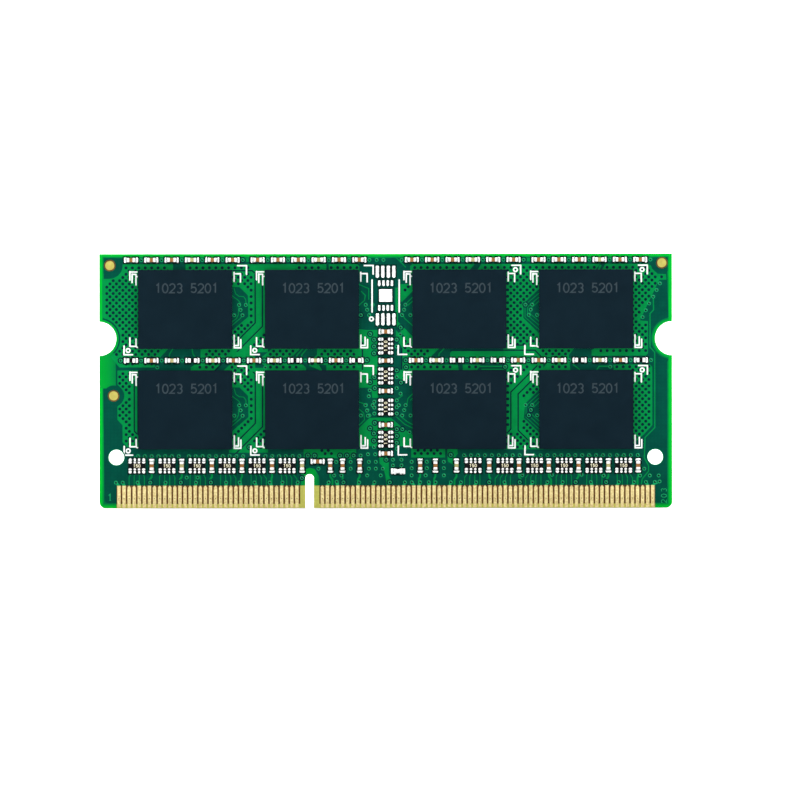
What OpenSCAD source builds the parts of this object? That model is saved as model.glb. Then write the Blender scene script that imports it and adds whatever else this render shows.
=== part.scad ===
// Laptop memory module: a small outline board with memory packages on both faces.
// It stands on its contact edge: X runs along the board, Z is up, and the front face looks to -Y.
// The origin is the middle of the contact edge, half way through the board.

/* [Board] */
// Length of the board
board_w = 67.6; // [67.5:0.05:67.8]
// Height of the board, from the contact edge to the top edge
board_h = 30; // [29.9:0.05:32]
// Thickness over the contacts
board_t = 1.0; // [0.9:0.05:1.1]
// Thickness of the copper, the solder mask and the contacts on each face
skin_t = 0.04; // [0.03:0.005:0.06]
// Radius of the two bottom corners
corner_r = 0.75; // [0.4:0.05:1]
// Radius of the latch notch in each short side
notch_r = 2; // [1.8:0.05:2.2]
// Height of the notch centres
notch_z = 20; // [19.8:0.05:20.2]
// Diameter of the two locating holes
hole_d = 1.8; // [1.7:0.05:2]
// Distance between the two locating holes
hole_span = 63.6; // [63.4:0.05:63.8]
// Height of the locating holes
hole_z = 6; // [5.8:0.05:6.2]

/* [Edge contacts] */
// Distance from one contact to the next
contact_pitch = 0.6; // [0.6]
// Width of a contact
contact_w = 0.45; // [0.4:0.01:0.48]
// Height of the contacts' top ends
contact_top = 2.67; // [2.5:0.01:2.8]
// Gap under the contacts
contact_gap = 0.1; // [0.05:0.01:0.2]
// Contacts on a face at the left of the key slot
left_count = 36; // [36]
// Contacts on a face at the right of the key slot
right_count = 66; // [66]
// First contact's distance from the middle of the board
contact_start = -31.5; // [-31.5]
// Contact places that the key slot takes
key_places = 4; // [4]
// Width of the key slot
key_w = 1.0; // [0.95:0.01:1.2]
// Height of the key slot's round top
key_h = 4.0; // [3.9:0.05:4.1]

/* [Memory packages] */
// Length of a package
dram_w = 11.1; // [10:0.1:11.3]
// Height of a package, as it stands on the board
dram_h = 9.32; // [9:0.02:9.4]
// Distance from the middle of the board to the inner packages
inner_x = 8.7; // [8.6:0.05:8.9]
// Distance from the middle of the board to the outer packages
outer_x = 23.65; // [23.5:0.05:23.8]
// Height of the upper row of packages
upper_z = 23.45; // [23.4:0.05:23.6]
// Height of the lower row of packages
lower_z = 11.6; // [11.5:0.05:11.8]
// Thickness of the package's substrate
substrate_t = 0.26; // [0.2:0.01:0.3]
// Thickness of the moulded cover over the substrate
mould_t = 0.54; // [0.45:0.01:0.6]
// Distance between solder balls
ball_pitch = 0.8; // [0.8]
// Radius of a solder ball
ball_r = 0.2; // [0.18:0.01:0.24]
// Height of a soldered ball
ball_h = 0.32; // [0.28:0.01:0.36]
// Solder balls in each row of a package
balls_in_row = 13; // [13]
// Length of the silicon die
die_w = 9; // [7:0.1:9.6]
// Height of the silicon die
die_h = 6; // [5:0.1:7.5]
// Thickness of the silicon die
die_t = 0.25; // [0.15:0.01:0.3]

/* [Small parts] */
// Length of a capacitor or a single resistor
chip_l = 1.0; // [0.95:0.01:1.05]
// Width of a capacitor or a single resistor
chip_w = 0.5; // [0.45:0.01:0.55]
// Height of a capacitor above the board
capacitor_t = 0.5; // [0.45:0.01:0.55]
// Height of a resistor or a resistor array above the board
resistor_t = 0.38; // [0.3:0.01:0.45]
// Length of a resistor array
array_l = 2.0; // [1.9:0.05:2.1]
// Depth of a resistor array
array_w = 1.0; // [0.9:0.05:1.1]
// Distance between a resistor array's inner terminals
array_pitch = 0.5; // [0.5]
// Distance between the parts of the top row
top_pitch = 2.4; // [2.35:0.01:2.45]
// Height of the top row
top_z = 29.29; // [29.2:0.01:29.3]
// Height of the row between the packages
middle_z = 17.43; // [17.4:0.01:17.6]
// Height of the row of resistor arrays above the contacts
bottom_z = 5; // [4.9:0.05:5.1]

/* [Hidden] */

FRONT = 0;
BACK = 1;
cut = 1; // how far a cutting shape runs past what it cuts
core_t = board_t - 2 * skin_t;
core_y = core_t / 2;
seat_y = board_t / 2; // the face that every part stands on, from the middle of the board
key_x = contact_start + (left_count - 1 + key_places / 2 + 0.5) * contact_pitch;
right_start = contact_start + (left_count + key_places) * contact_pitch;
contact_xs = concat([for (i = [0 : left_count - 1]) contact_start + i * contact_pitch],
                    [for (i = [0 : right_count - 1]) right_start + i * contact_pitch]);
last_contact = contact_xs[len(contact_xs) - 1];
mask_window_margin = 0.05; // bare board around each land
bare_from = contact_start - contact_w / 2 - mask_window_margin;
bare_to = last_contact + contact_w / 2 + mask_window_margin;

// Package places, from the left, upper row first
dram_places = [for (z = [upper_z, lower_z]) for (x = [-outer_x, -inner_x, inner_x, outer_x]) [x, z]];
substrate_y = seat_y + ball_h;
mould_y = substrate_y + substrate_t;
ball_rows = [-3.2, -2.4, -1.6, 1.6, 2.4, 3.2];
bond_slot = [9.2, 0.9, 0.12]; // the sealed slot under the substrate, over the bond wires

// Places of the small parts: [x, z, turn], where a turn of 0 lays the part along X
lay = 0;
stand = 90;
top_group_xs = [-24.05, -9.1, 9.1, 24.05];
top_row = [for (x = top_group_xs) for (i = [0 : 5]) [x + (i - 2.5) * top_pitch, top_z, lay]];
top_kinds = "CCCYCCCCCYCCCCCYCCCCCYCC";
middle_row = concat([for (i = [0 : 11]) [-30.07 + 2.42 * i, middle_z, lay]],
                    [for (i = [0 : 11]) [3.57 + 2.413 * i, middle_z, lay]]);
middle_kinds = "RCYRYCCYRYCRCYRYRCCYRYCR";
centre_column = [for (z = [20.82, 17.39, 13.81, 9.81, 6.43]) [0, z, lay]];
centre_kinds = "CCCCC";
bottom_row = concat([for (i = [0 : 5]) [-27.63 + 3.55 * i, bottom_z, stand]],
                    [for (x = [-6.56, -5.11, -3.08, 4.05, 5.85, 8.34]) [x, bottom_z, stand]],
                    [for (i = [0 : 5]) [12.2 + 3.515 * i, bottom_z, stand]],
                    [[-8.05, bottom_z + 0.5, lay]]);
bottom_kinds = "CYCCCYCCCCCYCCCCYCC";
chip_places = concat(top_row, middle_row, centre_column, bottom_row);
chip_kinds = str(top_kinds, middle_kinds, centre_kinds, bottom_kinds);
array_places = concat([for (i = [0 : 5]) [-29.37 + 3.545 * i, bottom_z, lay]],
                      [for (x = [10.3]) [x, bottom_z, lay]],
                      [for (i = [0 : 4]) [14.05 + 3.5 * i, bottom_z, lay]],
                      [for (z = [19.12, 15.58, 11.9, 8.12]) [0, z, stand]]);
function places_of(kind) = [for (i = [0 : len(chip_places) - 1]) if (chip_kinds[i] == kind) chip_places[i]];

plating_t = 0.02; // how far a terminal stands proud of the ceramic
terminal_l = 0.31; // length of a terminal along a capacitor or resistor
land_in = 0.28; // a land's inner end, from the middle of a capacitor or resistor
land_out = 0.84; // a land's outer end
land_w = 0.66;
fillet_run = 0.3; // how far solder runs out from a terminal
fillet_rise = 0.3;
array_terminals = [[-0.8, 0.4], [-array_pitch / 2, 0.3], [array_pitch / 2, 0.3], [0.8, 0.4]]; // place, width
array_terminal_l = 0.06;
array_land_in = 0.35;
array_land_out = 0.9;

// Memory for the module's own description: a package with gull-wing leads, on the back
spd_x = 0;
spd_z = 25.08;
spd_body = [3.0, 4.4, 0.9];
spd_die = [1.2, 1.4, 0.2];
spd_stand_off = 0.08;
spd_lead_pitch = 0.65;
spd_lead_w = 0.22;
spd_lead_t = 0.13;
spd_lead_tip = 3.2; // the tips' distance from the middle of the package
spd_lead_heel = 2.55; // where the lead bends down
spd_outer_land = [0.42, 1.48, 2.81]; // width, length and distance from the middle
spd_inner_land = [0.33, 0.71, 1.46];
spd_inner_pitch = 0.5;
spd_pad = [1.6, 1.5]; // the heat pad in the middle of the pattern
link_land = [0.55, 0.72]; // the two lands of the open link beside the contacts
link_place = [1.44, 4.33];
link_step = 0.36;

fiducial_r = 0.54;
fiducial_clear_r = 0.69;
fiducials = [[-32.55, 28.65], [32.6, 28.9], [-32.12, 13.27]];

// Legend strokes around a package: [x, z, x, z] from that corner of the package
ink_t = 0.015;
ink_w = 0.17;
ink_sides = 16; // flats on a stroke's round end
top_left_ink = [[-0.98, -0.18, -0.98, -1.17], [-0.98, -0.23, -0.15, -0.23], [-0.72, -0.46, -0.72, -1.47],
                [-0.72, -0.5, -0.26, -0.5], [-0.26, -0.5, -0.26, -1.75], [-0.26, -0.77, -0.12, -0.77]];
top_right_ink = [[0.22, -0.3, 0.22, -1.34], [0.22, -0.45, 0.97, -0.45], [0.97, -0.45, 0.97, -1.42],
                 [0.65, 0.51, 1.68, 0.51], [1.68, 0.51, 1.68, -0.5]];
bottom_left_ink = [[-0.99, 1.32, -0.99, 0.32], [-0.99, 0.32, -0.3, 0.32], [-0.26, 1.17, -0.26, 0.32],
                   [-0.3, 0.32, -0.12, 0.2], [-1.67, 0.36, -1.69, -0.67], [-1.69, -0.67, -0.68, -0.67]];
bottom_right_ink = [[0.22, 1.6, 0.22, 0.13], [0.22, 0.13, 1.0, 0.13], [0.72, 1.36, 0.72, 0.4],
                    [0.22, 0.4, 0.72, 0.4], [1.0, 1.09, 1.0, 0.13]];
ring_r = 0.22; // pin-one ring's middle radius
lower_ring = [-1.2, -0.17]; // ring's place from the bottom left corner, on the two left packages
upper_ring = [1.07, 0.0]; // and from the top right corner, on the two right packages

$fn = 48;

// Draw X and height as seen from the front, and build outwards from the board on the stated face
module on_face(side) mirror([0, side, 0]) rotate([90, 0, 0]) children();

// One flat layer on a face: from is its distance from the middle of the board
module layer(side, from, thickness)
    on_face(side) translate([0, 0, from]) linear_extrude(thickness) children();

// Put a part at [x, z, turn] with its foot on the board
module at(place) translate([place[0], place[1], seat_y]) rotate([0, 0, place[2]]) children();

// A block centred on x and y, from the stated height up
module block(size, from) translate([-size[0] / 2, -size[1] / 2, from]) cube(size);

module board_outline() difference() {
    union() {
        translate([-board_w / 2, corner_r]) square([board_w, board_h - corner_r]);
        translate([-board_w / 2 + corner_r, 0]) square([board_w - 2 * corner_r, board_h]);
        for (s = [-1, 1]) translate([s * (board_w / 2 - corner_r), corner_r]) circle(corner_r);
    }
    for (s = [-1, 1]) translate([s * board_w / 2, notch_z]) circle(notch_r);
    for (s = [-1, 1]) translate([s * hole_span / 2, hole_z]) circle(hole_d / 2);
    translate([key_x - key_w / 2, -cut]) square([key_w, key_h - key_w / 2 + cut]);
    translate([key_x, key_h - key_w / 2]) circle(key_w / 2);
}

module pcb_laminate() color([0.62, 0.58, 0.28]) layer(FRONT, -core_y, core_t) board_outline();

// A rectangle centred on [x, z], grown on every side by a margin
module land(x, z, w, h, margin = 0)
    translate([x - w / 2 - margin, z - h / 2 - margin]) square([w + 2 * margin, h + 2 * margin]);

// A land with round ends
module oblong(x, z, w, h, margin = 0) {
    land(x, z, w + 2 * margin, h - w);
    for (s = [-1, 1]) translate([x, z + s * (h - w) / 2]) circle(w / 2 + margin, $fn = 24);
}

module chip_lands(margin) for (p = chip_places) translate([p[0], p[1]]) rotate(p[2])
    for (s = [-1, 1]) land(s * (land_in + land_out) / 2, 0, land_out - land_in, land_w, margin);

module array_lands(margin) for (p = array_places) translate([p[0], p[1]]) rotate(p[2])
    for (t = array_terminals) for (s = [-1, 1])
        land(t[0], s * (array_land_in + array_land_out) / 2, t[1], array_land_out - array_land_in, margin);

module spd_lands(margin) translate([spd_x, spd_z]) {
    for (i = [-1.5 : 1.5]) for (s = [-1, 1]) {
        oblong(i * spd_lead_pitch, s * spd_outer_land[2], spd_outer_land[0], spd_outer_land[1], margin);
        oblong(i * spd_inner_pitch, s * spd_inner_land[2], spd_inner_land[0], spd_inner_land[1], margin);
    }
    land(0, 0, spd_pad[0], spd_pad[1], margin);
}

module link_lands(margin) for (s = [-1, 1])
    land(link_place[0] + s * link_step, link_place[1], link_land[0], link_land[1], margin);

module all_lands(margin) {
    chip_lands(margin);
    array_lands(margin);
    spd_lands(margin);
    link_lands(margin);
}

module component_lands(side) color([0.86, 0.87, 0.85]) layer(side, core_y, skin_t) all_lands(0);

module solder_mask(side) color([0.0, 0.5, 0.27]) layer(side, core_y, skin_t) difference() {
    board_outline();
    translate([bare_from, -cut]) square([bare_to - bare_from, contact_top + cut]);
    for (p = fiducials) translate(p) circle(fiducial_clear_r);
    all_lands(mask_window_margin);
}

// One stroke of ink with round ends
module stroke(s) let (dx = s[2] - s[0], dz = s[3] - s[1], length = norm([dx, dz])) {
    translate([s[0], s[1]]) rotate(atan2(dz, dx)) translate([0, -ink_w / 2]) square([length, ink_w]);
    for (end = [[s[0], s[1]], [s[2], s[3]]]) translate(end) circle(ink_w / 2, $fn = ink_sides);
}

module ring(r) difference() {
    circle(r + ink_w / 2, $fn = 24);
    circle(r - ink_w / 2, $fn = 24);
}

module package_ink(place) translate(place) {
    for (s = top_left_ink) translate([-dram_w / 2, dram_h / 2]) stroke(s);
    for (s = top_right_ink) translate([dram_w / 2, dram_h / 2]) stroke(s);
    for (s = bottom_left_ink) translate([-dram_w / 2, -dram_h / 2]) stroke(s);
    for (s = bottom_right_ink) translate([dram_w / 2, -dram_h / 2]) stroke(s);
    if (place[0] < 0) translate([-dram_w / 2, -dram_h / 2] + lower_ring) ring(ring_r);
    else translate([dram_w / 2, dram_h / 2] + upper_ring) ring(ring_r);
}

module spd_ink() {
    for (s = [-1, 1]) stroke([spd_x + s * 1.6, spd_z - 1.95, spd_x + s * 1.6, spd_z + 1.83]);
    translate([spd_x - 1.68, spd_z - 2.77]) ring(ring_r);
}

module legend_ink(side) color([0.93, 0.95, 0.94]) layer(side, seat_y, ink_t) difference() {
    union() {
        for (p = dram_places) package_ink(p);
        spd_ink();
    }
    for (s = [-1, 1]) translate([s * hole_span / 2, hole_z]) circle(hole_d / 2 + ink_w);
    all_lands(mask_window_margin);
}

module edge_contacts(side) color([0.9, 0.78, 0.42]) layer(side, core_y, skin_t)
    for (x = contact_xs)
        translate([x - contact_w / 2, contact_gap]) square([contact_w, contact_top - contact_gap]);

module fiducial_dots(side) color([0.93, 0.83, 0.45]) layer(side, core_y, skin_t)
    for (p = fiducials) translate(p) circle(fiducial_r);

// Moulded cover of one package, hollow underneath where the die sits
module dram_cover(index) color([0.08, 0.14, 0.18]) on_face(index < 8 ? FRONT : BACK)
    translate(dram_places[index % 8]) difference() {
        block([dram_w, dram_h, mould_t], mould_y);
        block([die_w, die_h, die_t + cut], mould_y - cut);
    }

module dram_dies(side) color([0.35, 0.36, 0.4]) on_face(side)
    for (p = dram_places) translate(p) block([die_w, die_h, die_t], mould_y);

module dram_substrates(side) color([0.1, 0.3, 0.2]) on_face(side)
    for (p = dram_places) translate(p) block([dram_w, dram_h, substrate_t], substrate_y);

module bond_slot_seals(side) color([0.05, 0.05, 0.06]) on_face(side)
    for (p = dram_places) translate(p) block(bond_slot, substrate_y - bond_slot[2]);

module solder_balls(side) color([0.8, 0.81, 0.83]) on_face(side)
    for (p = dram_places) for (z = ball_rows) for (i = [0 : balls_in_row - 1])
        translate([p[0] + (i - (balls_in_row - 1) / 2) * ball_pitch, p[1] + z, seat_y])
            cylinder(h = ball_h, r = ball_r, $fn = 16);

// Ceramic of a part: its terminals stand a little proud of it above and below
module ceramic(length, width, height) block([length, width, height - 2 * plating_t], plating_t);

module chip_ceramics(side, kind, height) on_face(side)
    for (p = places_of(kind)) at(p) ceramic(chip_l - 2 * terminal_l, chip_w - 2 * plating_t, height);

module chip_terminals(side, kinds, height) on_face(side)
    for (kind = kinds) for (p = places_of(kind)) at(p)
        for (s = [-1, 1]) translate([s * (chip_l - terminal_l) / 2, 0]) block([terminal_l, chip_w, height], 0);

module brown_capacitors(side) color([0.62, 0.4, 0.24]) chip_ceramics(side, "C", capacitor_t);
module tan_capacitors(side) color([0.78, 0.74, 0.5]) chip_ceramics(side, "Y", capacitor_t);
module capacitor_terminals(side) color([0.85, 0.86, 0.87]) chip_terminals(side, ["C", "Y"], capacitor_t);
module chip_resistors(side) color([0.05, 0.05, 0.05]) chip_ceramics(side, "R", resistor_t);
module resistor_terminals(side) color([0.85, 0.86, 0.87]) chip_terminals(side, ["R"], resistor_t);

module resistor_arrays(side) color([0.06, 0.06, 0.06]) on_face(side)
    for (p = array_places) at(p) ceramic(array_l, array_w - 2 * array_terminal_l, resistor_t);

module array_terminals(side) color([0.85, 0.86, 0.87]) on_face(side) for (p = array_places) at(p)
    for (t = array_terminals) for (s = [-1, 1]) translate([t[0], s * (array_w - array_terminal_l) / 2])
        block([t[1], array_terminal_l, resistor_t], 0);

// Solder that climbs from a land to a terminal's end face at x, wide as the terminal
module fillet(x, width) translate([x, width / 2, 0]) rotate([90, 0, 0])
    linear_extrude(width) polygon([[0, 0], [fillet_run, 0], [0, fillet_rise]]);

module solder_fillets(side) color([0.8, 0.81, 0.82]) on_face(side) {
    for (p = chip_places) at(p) for (s = [0, 180]) rotate(s) fillet(chip_l / 2, chip_w);
    for (p = array_places) at(p) for (s = [90, 270]) for (t = array_terminals)
        rotate(s) translate([0, t[0]]) fillet(array_w / 2, t[1]);
}

module spd_eeprom_cover() color([0.08, 0.08, 0.09]) on_face(BACK)
    translate([spd_x, spd_z, seat_y + spd_stand_off]) difference() {
        block(spd_body, 0);
        block(spd_die, spd_body[2] / 2);
    }

module spd_eeprom_die() color([0.35, 0.36, 0.4]) on_face(BACK)
    translate([spd_x, spd_z, seat_y + spd_stand_off]) block(spd_die, spd_body[2] / 2);

// Side view of one lead: out of the cover, down to its land and out to the tip
module spd_lead_profile() {
    wide = spd_lead_tip - spd_body[1] / 2;
    bend = spd_lead_heel - spd_body[1] / 2;
    exit_y = spd_stand_off + spd_body[2] / 2 - spd_die[2] / 2;
    translate([0, exit_y]) square([bend + spd_lead_t, spd_lead_t]);
    translate([bend, 0]) square([spd_lead_t, exit_y]);
    translate([bend, 0]) square([wide - bend, spd_lead_t]);
}

module spd_eeprom_leads() color([0.8, 0.81, 0.82]) on_face(BACK)
    translate([spd_x, spd_z, seat_y]) for (turn = [90, 270]) for (i = [-1.5 : 1.5])
        rotate(turn) translate([spd_body[1] / 2, i * spd_lead_pitch + spd_lead_w / 2, 0])
            rotate([90, 0, 0]) linear_extrude(spd_lead_w) spd_lead_profile();

pcb_laminate();
solder_mask(FRONT);  // solder_mask_front
solder_mask(BACK);  // solder_mask_back
legend_ink(FRONT);  // legend_ink_front
legend_ink(BACK);  // legend_ink_back
edge_contacts(FRONT);  // edge_contacts_front
edge_contacts(BACK);  // edge_contacts_back
fiducial_dots(FRONT);  // fiducials_front
fiducial_dots(BACK);  // fiducials_back
component_lands(FRONT);  // component_lands_front
component_lands(BACK);  // component_lands_back
for (i = [0 : 15]) dram_cover(i);
dram_dies(FRONT);  // dram_dies_front
dram_dies(BACK);  // dram_dies_back
dram_substrates(FRONT);  // dram_substrates_front
dram_substrates(BACK);  // dram_substrates_back
bond_slot_seals(FRONT);  // bond_slot_seals_front
bond_slot_seals(BACK);  // bond_slot_seals_back
solder_balls(FRONT);  // solder_balls_front
solder_balls(BACK);  // solder_balls_back
spd_eeprom_cover();
spd_eeprom_die();
spd_eeprom_leads();
brown_capacitors(FRONT);  // brown_capacitors_front
brown_capacitors(BACK);  // brown_capacitors_back
tan_capacitors(FRONT);  // tan_capacitors_front
tan_capacitors(BACK);  // tan_capacitors_back
capacitor_terminals(FRONT);  // capacitor_terminals_front
capacitor_terminals(BACK);  // capacitor_terminals_back
chip_resistors(FRONT);  // chip_resistors_front
chip_resistors(BACK);  // chip_resistors_back
resistor_terminals(FRONT);  // resistor_terminals_front
resistor_terminals(BACK);  // resistor_terminals_back
resistor_arrays(FRONT);  // resistor_arrays_front
resistor_arrays(BACK);  // resistor_arrays_back
array_terminals(FRONT);  // array_terminals_front
array_terminals(BACK);  // array_terminals_back
solder_fillets(FRONT);  // solder_fillets_front
solder_fillets(BACK);  // solder_fillets_back
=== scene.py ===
import math
from functools import partial

import bmesh
import bpy
import numpy as np
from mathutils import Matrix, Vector
from mathutils.geometry import delaunay_2d_cdt


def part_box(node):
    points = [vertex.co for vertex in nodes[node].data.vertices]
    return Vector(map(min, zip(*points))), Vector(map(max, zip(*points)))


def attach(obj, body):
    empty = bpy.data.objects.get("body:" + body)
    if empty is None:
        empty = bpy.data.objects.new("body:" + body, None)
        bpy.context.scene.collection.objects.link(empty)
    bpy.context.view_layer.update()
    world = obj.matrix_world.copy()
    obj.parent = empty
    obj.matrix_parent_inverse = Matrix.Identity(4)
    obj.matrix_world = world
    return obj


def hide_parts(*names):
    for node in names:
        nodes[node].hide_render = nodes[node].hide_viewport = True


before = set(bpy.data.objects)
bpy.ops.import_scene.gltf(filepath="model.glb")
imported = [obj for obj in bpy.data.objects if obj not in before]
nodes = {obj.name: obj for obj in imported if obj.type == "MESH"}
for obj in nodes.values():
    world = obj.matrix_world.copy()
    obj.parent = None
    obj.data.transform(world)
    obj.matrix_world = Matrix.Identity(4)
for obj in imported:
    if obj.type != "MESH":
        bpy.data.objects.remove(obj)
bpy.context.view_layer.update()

MM = 0.001
FRONT, BACK = -1, 1
SIDE_NAMES = {FRONT: "front", BACK: "back"}


# ---------------------------------------------------------------- sizes from the frame, in mm

def box_mm(node):
    low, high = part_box(node)
    return low / MM, high / MM


board_high = box_mm("pcb_laminate")[1]
HALF_W = board_high.x
BOARD_W = 2 * HALF_W
BOARD_H = board_high.z
CORE_Y = board_high.y                     # laminate surface, from the middle of the board
SEAT_Y = box_mm("solder_mask_back")[1].y  # where parts stand


def find_solids(node):
    """The box of each separate solid of a CAD node, in mm."""
    mesh = bmesh.new()
    mesh.from_mesh(nodes[node].data)
    bmesh.ops.remove_doubles(mesh, verts=mesh.verts, dist=1e-7)
    boxes, seen = [], set()
    for start in mesh.verts:
        if start in seen:
            continue
        seen.add(start)
        group, queue = [], [start]
        while queue:
            vert = queue.pop()
            group.append(vert.co)
            for edge in vert.link_edges:
                other = edge.other_vert(vert)
                if other not in seen:
                    seen.add(other)
                    queue.append(other)
        low = Vector([min(co[i] for co in group) for i in range(3)]) / MM
        high = Vector([max(co[i] for co in group) for i in range(3)]) / MM
        boxes.append((low, high))
    mesh.free()
    return boxes


solid_boxes = {}


def solids(node):
    """The same, found once for each node."""
    if node not in solid_boxes:
        solid_boxes[node] = find_solids(node)
    return solid_boxes[node]


def centre(box):
    return (box[0] + box[1]) / 2


packages = {FRONT: [box_mm(f"dram_cover_u{i}") for i in range(1, 9)],
            BACK: [box_mm(f"dram_cover_u{i}") for i in range(9, 17)]}
LANDS = {side: solids(f"component_lands_{name}") for side, name in SIDE_NAMES.items()}

NOTCH_R, NOTCH_Z = 2.0, 20.0
HOLE_R, HOLE_X, HOLE_Z = 0.9, 31.8, 6.0
KEY_R, KEY_X, KEY_TOP = 0.5, -9.0, 4.0
CONTACT_PITCH = 0.6
CONTACT_END, _, CONTACT_TOP = box_mm("edge_contacts_front")[1]
LAST_CONTACT = CONTACT_END - 0.225        # middle of the outermost contact
WINDOW_END = CONTACT_END + 0.065          # where the lacquer starts again beside it
FIDUCIALS = [centre(b) for b in solids("fiducials_front")]


# ---------------------------------------------------------------- materials

materials = {}


def new_material(name):
    """A material kept under its plain name, which the CAD may have taken in Blender already."""
    material = bpy.data.materials.new(name)
    materials[name] = material
    material.use_nodes = True
    tree = material.node_tree
    shader = next(n for n in tree.nodes if n.type == "BSDF_PRINCIPLED")
    return tree, shader


def coordinates(tree, stretch=(1, 1, 1)):
    source = tree.nodes.new("ShaderNodeTexCoord")
    mapping = tree.nodes.new("ShaderNodeMapping")
    mapping.inputs["Scale"].default_value = stretch
    tree.links.new(source.outputs["Object"], mapping.inputs["Vector"])
    return mapping.outputs["Vector"]


def noise(tree, vector, size_mm, detail=3.0):
    node = tree.nodes.new("ShaderNodeTexNoise")
    node.inputs["Scale"].default_value = 1 / (size_mm * MM)
    node.inputs["Detail"].default_value = detail
    tree.links.new(vector, node.inputs["Vector"])
    return node.outputs["Fac"]


def math_node(tree, operation, a, b=None, clamp=False):
    node = tree.nodes.new("ShaderNodeMath")
    node.operation = operation
    node.use_clamp = clamp
    for socket, value in zip(node.inputs, (a, b)):
        if value is None:
            continue
        if isinstance(value, (int, float)):
            socket.default_value = value
        else:
            tree.links.new(value, socket)
    return node.outputs[0]


def remap(tree, value, low, high, to_low=0.0, to_high=1.0):
    node = tree.nodes.new("ShaderNodeMapRange")
    node.inputs["From Min"].default_value = low
    node.inputs["From Max"].default_value = high
    node.inputs["To Min"].default_value = to_low
    node.inputs["To Max"].default_value = to_high
    tree.links.new(value, node.inputs["Value"])
    return node.outputs["Result"]


def blend_colours(tree, factor, first, second):
    node = tree.nodes.new("ShaderNodeMix")
    node.data_type = "RGBA"
    tree.links.new(factor, node.inputs[0])
    for socket, value in ((node.inputs[6], first), (node.inputs[7], second)):
        if isinstance(value, tuple):
            socket.default_value = (*value, 1)
        else:
            tree.links.new(value, socket)
    return node.outputs[2]


def bump(tree, shader, height, strength, distance_mm):
    node = tree.nodes.new("ShaderNodeBump")
    node.inputs["Strength"].default_value = strength
    node.inputs["Distance"].default_value = distance_mm * MM
    tree.links.new(height, node.inputs["Height"])
    tree.links.new(node.outputs["Normal"], shader.inputs["Normal"])


def surface(name, dark, light, grain_mm, roughness, bump_mm=0.0, bump_grain_mm=0.1, metallic=0.0,
            specular=0.5):
    """A material whose colour and roughness wander between two limits, with a fine bump."""
    tree, shader = new_material(name)
    vector = coordinates(tree)
    patches = noise(tree, vector, grain_mm)
    spread = remap(tree, patches, 0.3, 0.7)
    tree.links.new(blend_colours(tree, spread, dark, light), shader.inputs["Base Color"])
    tree.links.new(remap(tree, patches, 0.3, 0.7, *roughness), shader.inputs["Roughness"])
    shader.inputs["Metallic"].default_value = metallic
    shader.inputs["Specular IOR Level"].default_value = specular
    if bump_mm:
        bump(tree, shader, noise(tree, vector, bump_grain_mm, 4.0), 0.6, bump_mm)


def weave(tree, vector, pitch_mm):
    """Woven glass cloth: two sets of threads that cross."""
    threads = []
    for direction in ("X", "Z"):
        wave = tree.nodes.new("ShaderNodeTexWave")
        wave.bands_direction = direction
        wave.inputs["Scale"].default_value = 1 / (pitch_mm * MM) / 3.2
        wave.inputs["Distortion"].default_value = 0.6
        tree.links.new(vector, wave.inputs["Vector"])
        threads.append(wave.outputs["Fac"])
    return math_node(tree, "MULTIPLY", *threads)


def mask_material(name, dark, light, roughness, cloth=0.35):
    """Green lacquer: the cloth below shows faintly, and the surface is not quite flat."""
    tree, shader = new_material(name)
    vector = coordinates(tree)
    patches = noise(tree, vector, 1.1)
    cloth_tone = math_node(tree, "MULTIPLY", weave(tree, vector, 0.42), cloth)
    tone = math_node(tree, "ADD", remap(tree, patches, 0.3, 0.7, 0.0, 1 - cloth), cloth_tone, clamp=True)
    tree.links.new(blend_colours(tree, tone, dark, light), shader.inputs["Base Color"])
    tree.links.new(remap(tree, noise(tree, vector, 0.35), 0.3, 0.7, *roughness), shader.inputs["Roughness"])
    shader.inputs["Specular IOR Level"].default_value = 0.015
    bump(tree, shader, noise(tree, vector, 0.22, 2.0), 0.5, 0.004)


def separated(tree, vector):
    node = tree.nodes.new("ShaderNodeSeparateXYZ")
    tree.links.new(vector, node.inputs[0])
    return node.outputs["X"], node.outputs["Z"]


def glow_material(name, nearness, deep, bright):
    """Lacquer over bare board near an edge: light comes through, and fades inwards."""
    tree, shader = new_material(name)
    vector = coordinates(tree)
    mottled = remap(tree, noise(tree, vector, 0.6), 0.2, 0.8, -0.07, 0.07)
    tone = math_node(tree, "ADD", nearness(tree, *separated(tree, vector)), mottled, clamp=True)
    tree.links.new(blend_colours(tree, tone, deep, bright), shader.inputs["Base Color"])
    tree.links.new(remap(tree, noise(tree, vector, 0.3), 0.3, 0.7, 0.3, 0.45), shader.inputs["Roughness"])
    shader.inputs["Specular IOR Level"].default_value = 0.015
    bump(tree, shader, noise(tree, vector, 0.2, 2.0), 0.5, 0.003)


def near_any_edge(tree, x, z):
    """How strong the painted light through the board is: 1 at the board's edge, 0 where the strip without
    inner copper ends.
    """
    from_middle = math_node(tree, "ABSOLUTE", x)
    terms = [remap(tree, from_middle, (HALF_W - 0.62) * MM, (HALF_W - 0.25) * MM),
             remap(tree, z, (BOARD_H - 0.5) * MM, (BOARD_H - 0.2) * MM),
             remap(tree, z, 0.62 * MM, 0.2 * MM)]
    from_key = math_node(tree, "ABSOLUTE", math_node(tree, "SUBTRACT", x, KEY_X * MM))
    terms.append(remap(tree, from_key, 1.3 * MM, 0.5 * MM, 0.1, 0.62))
    across = math_node(tree, "POWER", math_node(tree, "SUBTRACT", from_middle, HALF_W * MM), 2.0)
    up = math_node(tree, "POWER", math_node(tree, "SUBTRACT", z, NOTCH_Z * MM), 2.0)
    from_notch = math_node(tree, "SQRT", math_node(tree, "ADD", across, up))
    terms.append(remap(tree, from_notch, (NOTCH_R + 0.5) * MM, (NOTCH_R + 0.12) * MM, 0.0, 0.8))
    total = terms[0]
    for term in terms[1:]:
        total = math_node(tree, "MAXIMUM", total, term)
    return total


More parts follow.
